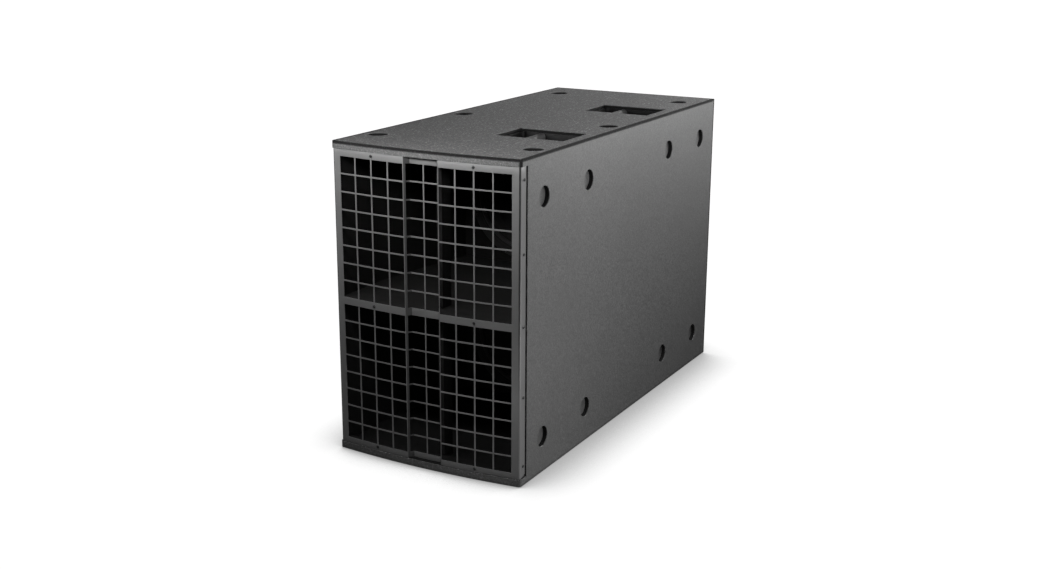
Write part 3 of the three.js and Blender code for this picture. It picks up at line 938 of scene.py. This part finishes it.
def handleGrip(where):  # a thick moulded bar with a parting ridge along its top and flared roots
    node = f"handle_grip_{where}"
    low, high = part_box(node)
    h = handle
    middle = (low + high) / 2
    half = (high.y - low.y) / 2
    radius = (high.x - low.x) / 2
    bm = bmesh.new()
    rings = []
    for t in [-t for t in h["stations"][:0:-1]] + list(h["stations"]):
        away = max(0.0, abs(t) - h["root"]) / (1 - h["root"])
        size = radius * (h["waist"] + (1 - h["waist"]) * away ** 2)
        ring = []
        for i in range(h["sides"]):
            a = 2 * math.pi * i / h["sides"]
            square = 1 / (abs(math.cos(a)) ** 3 + abs(math.sin(a)) ** 3) ** (1 / 3)
            ridge = h["ridge"] * math.exp(-((math.degrees(a) - 90) / h["ridgeSpread"]) ** 2)
            r = min(size * (0.5 * square + 0.5) + ridge, radius)
            spot = (middle.x + r * math.cos(a), middle.y + t * half, middle.z + r * math.sin(a))
            ring.append(bm.verts.new(spot))
        rings.append(ring)
    for first, second in zip(rings, rings[1:]):
        for i in range(h["sides"]):
            j = (i + 1) % h["sides"]
            bm.faces.new((first[i], first[j], second[j], second[i]))
    bm.faces.new(rings[0][::-1])
    bm.faces.new(rings[-1])
    bmesh.ops.recalc_face_normals(bm, faces=bm.faces)
    place(f"grip_{where}", smooth(toMesh(bm), 40), "handle_plastic", [node], finish=gripPlastic)


for where in ("front", "rear"):
    handleDish(where)
    handleGrip(where)
print("handles made")


# Pads.
def rubberPad(node):  # a round foot, grooved underneath, with a tapered edge
    low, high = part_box(node)
    middle = (low + high) / 2
    wide = (high.x - low.x) / 2
    tall = high.z - low.z
    grooves = [(0, 0.0006), (0.006, 0.0006), (0.007, 0.0), (0.0095, 0.0), (0.0105, 0.0008),
               (0.0125, 0.0008), (0.0135, 0.0)]
    side = [(wide * 0.84, 0.0), (wide * 0.93, 0.0006), (wide * 0.965, 0.0018), (wide, tall * 0.9),
            (wide * 0.985, tall), (0, tall)]
    shape = turned(grooves + side, "z", (middle.x, middle.y, low.z), 56)
    place(node.replace("pad_", "foot_"), smooth(shape, 30), "pad_rubber", [node])


for name in frame["nodes"]:
    if name.startswith("pad_"):
        rubberPad(name)
print("pads made")


# Drivers behind the grille.
driver = {
    "bolts": 8, "boltCircle": 0.170, "spokes": 6, "steps": 96, "neck": 0.93, "coneSteps": 40, "ribs": 5,
    "ribDeep": 0.0009, "ribSpread": 0.13, "paper": 0.0016, "coil": 0.038, "former": 0.0012,
    "capSteps": 14, "rollSteps": 14, "rollWidth": 0.010, "lip": 0.0016, "rubber": 0.0015, "seat": 0.006,
    "spiderHole": 0.039, "ripples": 6, "rippleSteps": 72, "cloth": 0.0010, "magnetSteps": 72,
}


def ringOf(profile, axle, steps=driver["steps"]):  # a closed profile turned about the driver's axle
    return turned(profile + profile[:1], "y", axle, steps)


def makeCone(level, axle, body):  # a thin pressed shell with shallow ribs, and its coil former
    d = driver
    low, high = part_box(f"{level}_cone")
    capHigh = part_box(f"{level}_dust_cap")[1]
    rim = (high.x - low.x) / 2
    neck = (capHigh.x - axle.x) * d["neck"]
    openY, neckY = low.y + 0.0004, capHigh.y - 0.0003
    shell = []
    for i in range(d["coneSteps"] + 1):
        t = i / d["coneSteps"]
        radius = rim - 0.0012 + (neck - rim) * t
        y = openY + (neckY - openY) * t ** 0.92
        across = (t * (d["ribs"] + 1)) % 1 - 0.5
        rib = d["ribDeep"] * math.exp(-(across / d["ribSpread"]) ** 2) if 0.08 < t < 0.92 else 0
        shell.append((radius, y - rib))
    back = [(radius, y + d["paper"]) for radius, y in shell[::-1]]
    outer, inner = d["coil"], d["coil"] - d["former"]
    tube = [(outer + 0.010, low.y + 0.0624), (outer, low.y + 0.0724), (outer, high.y),
            (inner, high.y), (inner, low.y + 0.067), (outer + 0.008, low.y + 0.0605)]
    cone = merged([ringOf(shell + back, axle), ringOf(tube, axle)])
    place(f"{level}_paper_cone", smooth(cone, 40), "cone_paper", [f"{level}_cone"], body)


def makeDustCap(level, axle, body):  # a low dome with a rolled glue edge
    low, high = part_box(f"{level}_dust_cap")
    steps = driver["capSteps"]
    reach = (high.x - low.x) / 2
    rise = high.y - low.y - 0.0018
    dome = [(reach * t, low.y + rise * t * t) for t in (i / steps for i in range(steps + 1))]
    edge = low.y + rise
    glue = [(reach, edge), (reach * 0.995, edge + 0.0016), (reach * 0.97, edge + 0.0017)]
    under = [(r * 0.97, y + 0.0015) for r, y in dome[::-1]]
    cap = turned(dome + glue + under, "y", axle, driver["steps"])
    place(f"{level}_dome", smooth(cap, 50), "cone_paper", [f"{level}_dust_cap"], body)


def makeSurround(level, axle):  # a half roll with a flat lip on each side
    d = driver
    low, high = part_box(f"{level}_surround")
    outer = (high.x - low.x) / 2
    inner = outer - d["rollWidth"]
    middle, half = (inner + outer) / 2, (outer - inner) / 2
    base = high.y - d["lip"]
    height = base - low.y
    turns = [math.pi * i / d["rollSteps"] for i in range(d["rollSteps"] + 1)]
    roll = [(middle - half * math.cos(a), base - height * math.sin(a)) for a in turns]
    inside = [(middle + (r - middle) * 0.72, y + d["rubber"]) for r, y in roll[::-1]]
    shape = smooth(ringOf(roll + inside, axle), 50)
    place(f"{level}_half_roll", shape, "surround_rubber", [f"{level}_surround"])


def makeBasket(level, axle):  # a rim with a gasket and bolts, and a windowed cone behind it
    d = driver
    low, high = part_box(f"{level}_basket")
    rim = (high.x - low.x) / 2
    face, deep = low.y, high.y
    seat, step = face + d["seat"], deep - 0.006
    outline = [(rim, face + 0.0008), (rim, seat), (0.158, seat), (0.096, step), (0.096, deep),
               (0.042, deep), (0.042, step), (0.086, step), (0.147, face + 0.0043), (0.1505, face),
               (0.1575, face), (0.1585, face + 0.0008), (0.1665, face + 0.0008),
               (0.1672, face + 0.0002), (rim - 0.001, face)]
    window = ((-0.034, baffleFace + 0.022, 0.090), (0.034, baffleFace + 0.086, 0.200))
    holes = []
    for i in range(d["spokes"]):
        hole = moved(brick(*window), (0, 0, 0), ("Y", 360 / d["spokes"] * i))
        holes.append(moved(hole, (axle.x, 0, axle.z)))
    shape = smooth(carve(ringOf(outline, axle), holes), 35)
    place(f"{level}_frame", shape, "cast_frame", [f"{level}_basket"])
    for i in range(d["bolts"]):
        a = 2 * math.pi * (i + 0.5) / d["bolts"]
        circle = d["boltCircle"]
        spot = (axle.x + circle * math.cos(a), face - 0.0001, axle.z + circle * math.sin(a))
        place(f"{level}_frame_screw_{i + 1}", moved(headShape, spot), "screw_steel")


def makeSpider(level, axle):  # a disc of moulded ripples
    d = driver
    low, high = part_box(f"{level}_spider")
    inner, outer = d["spiderHole"], (high.x - low.x) / 2
    middle, sway = (low.y + high.y) / 2, (high.y - low.y) / 2 - 0.0006
    ripples = []
    for i in range(d["rippleSteps"] + 1):
        wave = math.sin(2 * math.pi * d["ripples"] * i / d["rippleSteps"])
        ripples.append((inner + (outer - inner) * i / d["rippleSteps"], middle + sway * wave - 0.0005))
    under = [(r, y + d["cloth"]) for r, y in ripples[::-1]]
    shape = smooth(ringOf(ripples + under, axle), 60)
    place(f"{level}_ripple_disc", shape, "spider_cloth", [f"{level}_spider"])


def makeMagnet(level, axle):  # a ring between two chamfered plates
    low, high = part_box(f"{level}_magnet")
    r = (high.x - low.x) / 2
    near, far = low.y, high.y
    stack = [(0.048, near), (r - 0.010, near), (r - 0.008, near + 0.001), (r - 0.008, near + 0.0080),
             (r - 0.001, near + 0.0090), (r, near + 0.0105), (r, near + 0.0385),
             (r - 0.001, near + 0.0395), (r - 0.008, near + 0.0405), (r - 0.008, near + 0.047),
             (r - 0.014, far - 0.001), (r - 0.016, far), (0.020, far), (0.018, far - 0.003),
             (0, far - 0.003), (0, far - 0.010), (0.048, far - 0.010)]
    shape = smooth(ringOf(stack, axle, driver["magnetSteps"]), 30)
    place(f"{level}_magnet_stack", shape, "cast_frame", [f"{level}_magnet"])


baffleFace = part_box("driver_baffle")[0].y
for level in ("lower", "upper"):
    coneLow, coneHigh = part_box(f"{level}_cone")
    axle = Vector(((coneLow.x + coneHigh.x) / 2, 0, (coneLow.z + coneHigh.z) / 2))
    for make in (makeCone, makeDustCap):
        make(level, axle, f"{level}_cone_body")
    for make in (makeSurround, makeBasket, makeSpider, makeMagnet):
        make(level, axle)
print("drivers made")


# Boards inside the mouths.
def plainBoard(node, radius, name, finish=None):  # the board itself, with its sawn edges eased
    bm = fromShape(frame["nodes"][node].data)
    bmesh.ops.remove_doubles(bm, verts=bm.verts, dist=1e-6)

    def eased(middle, direction):
        return radius

    place(name, roundEdges(toMesh(bm), eased, 2, 40), "inner_paint", [node], finish=finish)


plainBoard("mouth_shelf", 0.0008, "shelf", litShelfPaint)
plainBoard("grille_batten_upper", 0.0010, "batten_upper")
plainBoard("grille_batten_lower", 0.0010, "batten_lower")
for level in ("lower", "upper"):
    for side in ("left", "right"):
        plainBoard(f"horn_flare_{level}_{side}", 0.0008, f"flare_{level}_{side}")
print("inner boards made")


# Connector plate on the back.
rearPlate = {
    "edge": 0.0008, "corner": 0.004, "screwInset": 0.009, "border": (0.020, 0.018), "hole": 0.0133,
    "keys": 3, "contacts": 4, "contactCircle": 0.0085, "steps": 64,
}


def makeRearBoard():
    low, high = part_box("rear_panel")
    plateLow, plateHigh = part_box("connector_plate")
    seam = boards["seam"]
    x, z = rearPlate["border"]
    board = brick((low.x - seam, low.y, low.z - seam), (high.x + seam, high.y, high.z + seam))
    opening = brick((plateLow.x + x, low.y - 0.01, plateLow.z + z),
                    (plateHigh.x - x, high.y + 0.01, plateHigh.z - z))

    def rim(middle, direction):
        return rearPlate["edge"] if abs(middle.x) < 0.1 and middle.z < plateHigh.z + 0.01 else 0

    place("rear_board", roundEdges(carve(board, [opening]), rim, 2), "textured_paint", ["rear_panel"])


def makeConnectorPlate():
    low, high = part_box("connector_plate")
    hole = rearPlate["hole"]
    cutters = []
    for side in ("left", "right"):
        spot = sum((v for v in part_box(f"socket_{side}")), Vector()) / 2
        bore = [(0, -0.01), (hole, -0.01), (hole, 0.01), (0, 0.01)]
        cutters.append(turned(bore, "y", (spot.x, low.y, spot.z), 48))

    def corner(middle, direction):
        isCorner = abs(direction.y) > 0.99 and abs(abs(middle.x) - high.x) < 0.001
        return rearPlate["corner"] if isCorner else rearPlate["edge"] * 0.6

    shape = roundEdges(carve(brick(low, high), cutters), corner, 4)
    place("rear_plate", shape, "powder_coated_steel", ["connector_plate"])
    inset = rearPlate["screwInset"]
    count = 0
    for x in (low.x + inset, high.x - inset):
        for z in (low.z + inset, high.z - inset):
            count += 1
            place(f"plate_screw_{count}", moved(headShape, (x, high.y, z), ("Z", 180)), "screw_steel")


def makeSocket(side):
    p = rearPlate
    low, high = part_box(f"socket_{side}")
    spot = (low + high) / 2
    face = high.y
    r = (high.x - low.x) / 2
    ring = [(0.005, low.y), (0.013, low.y), (0.013, face - 0.0026), (r, face - 0.0026),
            (r, face - 0.0008), (r - 0.0008, face), (0.0125, face), (0.012, face - 0.0006),
            (0.012, face - 0.0108), (0.0056, face - 0.0108), (0.005, face - 0.010),
            (0.005, face - 0.0017), (0.0044, face - 0.0011), (0, face - 0.0011), (0, low.y)]
    shell = turned(ring + ring[:1], "y", (spot.x, 0, spot.z), p["steps"])
    keyways = []
    for i in range(p["keys"]):
        key = brick((-0.0013, face - 0.0095, 0.0105), (0.0013, face + 0.001, 0.0142))
        key = moved(key, (0, 0, 0), ("Y", 360 / p["keys"] * i))
        keyways.append(moved(key, (spot.x, 0, spot.z)))
    shape = smooth(carve(shell, keyways), 35)
    place(f"socket_shell_{side}", shape, "handle_plastic", [f"socket_{side}"])
    strips = []
    for i in range(p["contacts"]):
        a = math.radians(45 + 360 / p["contacts"] * i)
        x, z = spot.x + p["contactCircle"] * math.cos(a), spot.z + p["contactCircle"] * math.sin(a)
        strip = ((x - 0.0012, face - 0.0106, z - 0.0005), (x + 0.0012, face - 0.0040, z + 0.0005))
        strips.append(brick(*strip))
    place(f"socket_contacts_{side}", merged(strips), "screw_steel", finish=contactMetal)


makeRearBoard()
makeConnectorPlate()
for side in ("left", "right"):
    makeSocket(side)
print("connector plate made")


# Floor and sky.
def makeFloor():  # pale, with a soft shadow where the cabinet stands
    f = Finish("pale_floor")
    reach = {"Distance": studio["shadowReach"]}
    near = f.add("ShaderNodeAmbientOcclusion", {"samples": 16}, reach, "AO")
    shade = f.fade(near, *studio["shadow"])
    light = f.add("ShaderNodeEmission", None, {"Color": shade, "Strength": 1.0}, "Emission")
    output = next(n for n in f.nodes if n.type == "OUTPUT_MATERIAL")
    f.links.new(light.socket, output.inputs["Surface"])
    bm = bmesh.new()
    bmesh.ops.create_grid(bm, x_segments=1, y_segments=1, size=studio["floorHalf"])
    floor = bpy.data.objects.new("floor", toMesh(bm))
    floor.data.materials.append(f.material)
    bpy.context.collection.objects.link(floor)
    floor.location = (0, 0, -studio["floorDrop"])
    floor.visible_diffuse = False
    floor.visible_glossy = False


def makeSky():  # white to the eye, dimmer as a light, and dimmer still from below
    world = bpy.data.worlds.new("studio")
    bpy.context.scene.world = world
    world.use_nodes = True
    nodes, links = world.node_tree.nodes, world.node_tree.links
    direction = nodes.new("ShaderNodeTexCoord")
    height = nodes.new("ShaderNodeSeparateXYZ")
    links.new(direction.outputs["Generated"], height.inputs[0])
    strength = None
    for start, end, low, high in ((-1, 0, "skyBelow", "skyLevel"), (0, 1, None, "skyAbove")):
        ramp = nodes.new("ShaderNodeMapRange")
        ramp.inputs["From Min"].default_value = start
        ramp.inputs["From Max"].default_value = end
        ramp.inputs["To Max"].default_value = studio[high]
        links.new(height.outputs["Z"], ramp.inputs["Value"])
        if low:
            ramp.inputs["To Min"].default_value = studio[low]
        else:
            links.new(strength, ramp.inputs["To Min"])
        strength = ramp.outputs["Result"]
    path = nodes.new("ShaderNodeLightPath")
    seen = nodes.new("ShaderNodeMapRange")
    seen.inputs["To Max"].default_value = 1.0
    links.new(path.outputs["Is Camera Ray"], seen.inputs["Value"])
    links.new(strength, seen.inputs["To Min"])
    background = nodes["Background"]
    background.inputs["Color"].default_value = (1, 1, 1, 1)
    links.new(seen.outputs["Result"], background.inputs["Strength"])


makeFloor()
makeSky()
print("studio made")
